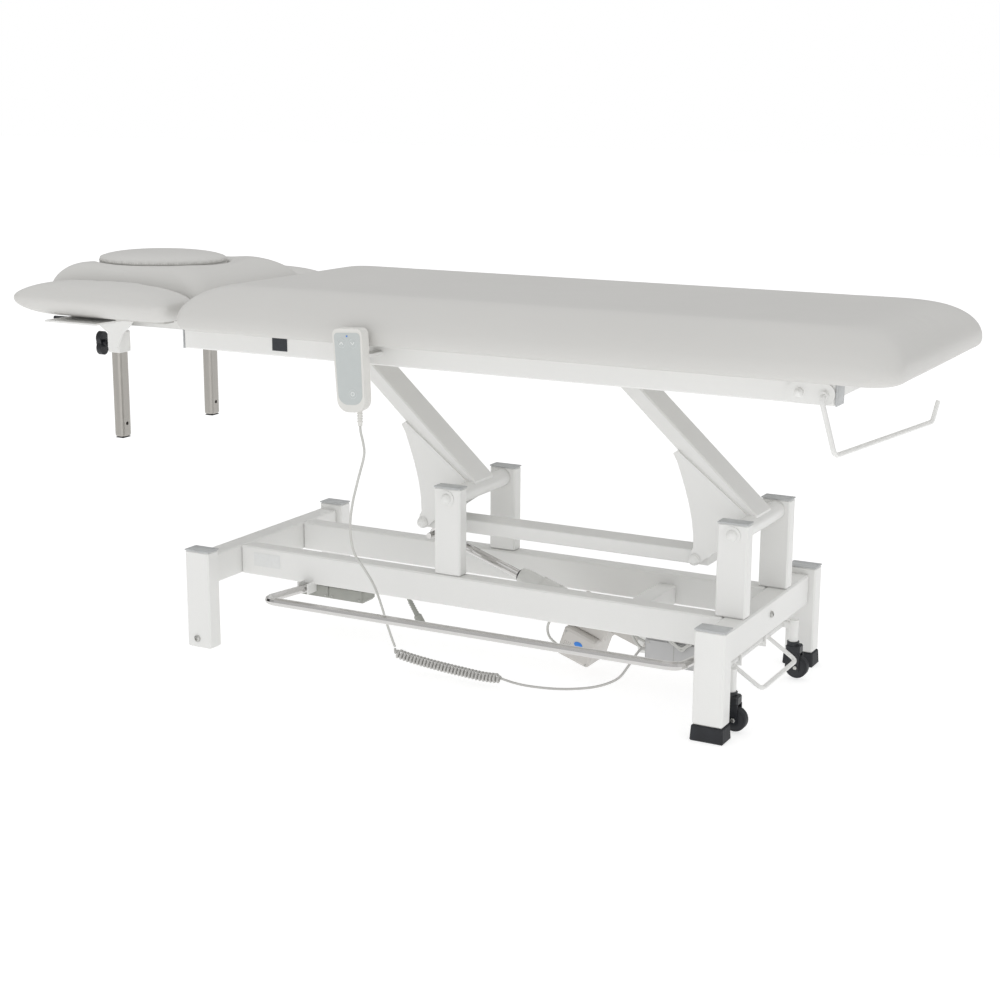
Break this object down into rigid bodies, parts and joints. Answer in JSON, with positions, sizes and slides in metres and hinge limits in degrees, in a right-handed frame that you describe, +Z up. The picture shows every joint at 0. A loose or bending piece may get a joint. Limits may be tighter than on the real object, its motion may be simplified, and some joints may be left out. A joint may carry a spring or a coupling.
{
  "type": "examination couch",
  "caption": "Height-adjustable examination couch: padded bed with a tilting head section and face opening, on two parallel lift arms over a steel base.",
  "frame": {"origin": "centre of the footprint of the whole couch without its free cord, on the floor", "axes": "+X along the couch from the head end to the foot end, +Y across it to the side away from the handset, +Z up"},
  "size_m": [1.925, 0.685, 0.8062],
  "materials": {
    "white_paint": "satin powder coat",
    "black_rubber": "matt",
    "black_plastic": "satin",
    "grey_plastic": "satin",
    "chrome": "polished",
    "stainless": "brushed",
    "plywood": "plain",
    "vinyl": "soft sheen vinyl over foam"
  },
  "bodies": {
    "base": {"base_rail_near": "white_paint", "base_rail_far": "white_paint", "crossbeam_head": "white_paint", "crossbeam_foot": "white_paint", "leg_head_near": "white_paint", "leg_head_far": "white_paint", "leg_foot_near": "white_paint", "leg_foot_far": "white_paint", "upright_head_near": "white_paint", "upright_head_far": "white_paint", "upright_foot_near": "white_paint", "upright_foot_far": "white_paint", "pivot_axle_head": "white_paint", "pivot_axle_foot": "white_paint", "actuator_crossmember": "white_paint", "rubber_foot_near": "black_rubber", "rubber_foot_far": "black_rubber", "control_box": "grey_plastic", "foot_switch_box": "grey_plastic", "spare_plug": "grey_plastic", "cord_upper": "grey_plastic", "cord_coil": "grey_plastic", "cord_lower": "grey_plastic"},
    "head_arm": {"lift_arm_head": "white_paint", "link_pin_head": "white_paint"},
    "foot_arm": {"lift_arm_foot": "white_paint", "link_pin_foot": "white_paint"},
    "link": {"link_bar": "white_paint"},
    "actuator": {"actuator_tube": "grey_plastic", "actuator_motor_housing": "grey_plastic"},
    "rod": {"actuator_rod": "chrome"},
    "upper": {"top_rail_near": "white_paint", "top_rail_far": "white_paint", "top_cross_head": "white_paint", "top_cross_foot": "white_paint", "main_board": "plywood", "main_pad": "vinyl", "roll_holder": "white_paint", "handset": "grey_plastic"},
    "head": {"head_frame": "white_paint", "head_board": "plywood", "head_pad": "vinyl", "arm_post_near": "stainless", "arm_post_far": "stainless"},
    "plug": {"face_plug": "vinyl"},
    "arm_rest_near": {"arm_bracket_near": "white_paint", "arm_pad_near": "vinyl"},
    "arm_rest_far": {"arm_bracket_far": "white_paint", "arm_pad_far": "vinyl"},
    "knob_near": {"clamp_knob_near": "black_plastic"},
    "knob_far": {"clamp_knob_far": "black_plastic"},
    "lever": {"head_lever": "black_plastic"},
    "bar": {"foot_bar": "chrome"},
    "castor_lift": {"castor_shaft": "white_paint"},
    "fork_near": {"castor_fork_near": "black_plastic"},
    "fork_far": {"castor_fork_far": "black_plastic"},
    "wheel_near": {"castor_wheel_near": "black_rubber"},
    "wheel_far": {"castor_wheel_far": "black_rubber"},
    "head_roller_near": {"roller_near": "black_plastic"},
    "head_roller_far": {"roller_far": "black_plastic"}
  },
  "joints": [
    {"name": "lift", "type": "hinge", "parent": "base", "child": "head_arm", "pos_m": [0.008, 0.0175, 0.357], "axis": [0, 1, 0], "range_deg": [-30, 15], "deforming": ["cord_upper"]},
    {"name": "foot_arm_turn", "type": "hinge", "parent": "base", "child": "foot_arm", "pos_m": [0.6175, 0.0175, 0.357], "axis": [0, 1, 0], "range_deg": [-30, 15]},
    {"name": "link_turn", "type": "hinge", "parent": "head_arm", "child": "link", "pos_m": [-0.1005, 0.0175, 0.2765], "axis": [0, 1, 0], "range_deg": [-15, 30]},
    {"name": "top_turn", "type": "hinge", "parent": "head_arm", "child": "upper", "pos_m": [-0.31951, 0.0175, 0.65501], "axis": [0, 1, 0], "range_deg": [-15, 30]},
    {"name": "actuator_swing", "type": "hinge", "parent": "base", "child": "actuator", "pos_m": [0.4025, 0.0175, 0.077], "axis": [0, 1, 0], "range_deg": [-2.2, 1.2]},
    {"name": "rod_slide", "type": "slide", "parent": "actuator", "child": "rod", "axis": [-0.9454, 0, 0.326], "range_m": [-0.0715, 0.036]},
    {"name": "head_tilt", "type": "hinge", "parent": "upper", "child": "head", "pos_m": [-0.5175, 0.0175, 0.66], "axis": [0, 1, 0], "range_deg": [-25, 18]},
    {"name": "face_plug_lift", "type": "slide", "parent": "head", "child": "plug", "axis": [0, 0, 1], "range_m": [0, 0.12]},
    {"name": "arm_rest_near_height", "type": "slide", "parent": "head", "child": "arm_rest_near", "axis": [0, 0, -1], "range_m": [0, 0.17]},
    {"name": "arm_rest_far_height", "type": "slide", "parent": "head", "child": "arm_rest_far", "axis": [0, 0, -1], "range_m": [0, 0.17]},
    {"name": "knob_near_turn", "type": "hinge", "parent": "arm_rest_near", "child": "knob_near", "pos_m": [-0.846, -0.1415, 0.615], "axis": [1, 0, 0], "continuous": true},
    {"name": "knob_far_turn", "type": "hinge", "parent": "arm_rest_far", "child": "knob_far", "pos_m": [-0.846, 0.1765, 0.615], "axis": [1, 0, 0], "continuous": true},
    {"name": "head_lever_pull", "type": "hinge", "parent": "head", "child": "lever", "pos_m": [-0.8825, -0.1225, 0.667], "axis": [0, 1, 0], "range_deg": [-12, 0], "stiffness_Nm_per_rad": 1.5, "springref_deg": 1.72},
    {"name": "foot_bar_press", "type": "hinge", "parent": "base", "child": "bar", "pos_m": [0.0575, -0.1345, 0.127], "axis": [1, 0, 0], "range_deg": [-4, 4], "stiffness_Nm_per_rad": 120, "springref_deg": -1.15},
    {"name": "castor_lower", "type": "hinge", "parent": "base", "child": "castor_lift", "pos_m": [0.6225, 0.0175, 0.112], "axis": [0, 1, 0], "range_deg": [0, 12]},
    {"name": "castor_swivel_near", "type": "hinge", "parent": "castor_lift", "child": "fork_near", "pos_m": [0.6495, -0.1785, 0.075], "axis": [0, 0, 1], "continuous": true},
    {"name": "castor_swivel_far", "type": "hinge", "parent": "castor_lift", "child": "fork_far", "pos_m": [0.6495, 0.1695, 0.075], "axis": [0, 0, 1], "continuous": true},
    {"name": "wheel_near_roll", "type": "hinge", "parent": "fork_near", "child": "wheel_near", "pos_m": [0.6595, -0.1785, 0.0268], "axis": [0, 1, 0], "continuous": true},
    {"name": "wheel_far_roll", "type": "hinge", "parent": "fork_far", "child": "wheel_far", "pos_m": [0.6595, 0.1695, 0.0268], "axis": [0, 1, 0], "continuous": true},
    {"name": "head_roller_near_roll", "type": "hinge", "parent": "base", "child": "head_roller_near", "pos_m": [-0.5195, -0.2365, 0.0175], "axis": [0, 1, 0], "continuous": true},
    {"name": "head_roller_far_roll", "type": "hinge", "parent": "base", "child": "head_roller_far", "pos_m": [-0.5195, 0.2715, 0.0175], "axis": [0, 1, 0], "continuous": true}
  ],
  "couplings": [
    {"joint": "foot_arm_turn", "follows": "lift", "ratio": 1},
    {"joint": "link_turn", "follows": "lift", "ratio": -1},
    {"joint": "top_turn", "follows": "lift", "ratio": -1},
    {"joint": "actuator_swing", "follows": "lift", "ratio": 0.065},
    {"joint": "rod_slide", "follows": "lift", "m_per_rad": 0.1346}
  ]
}
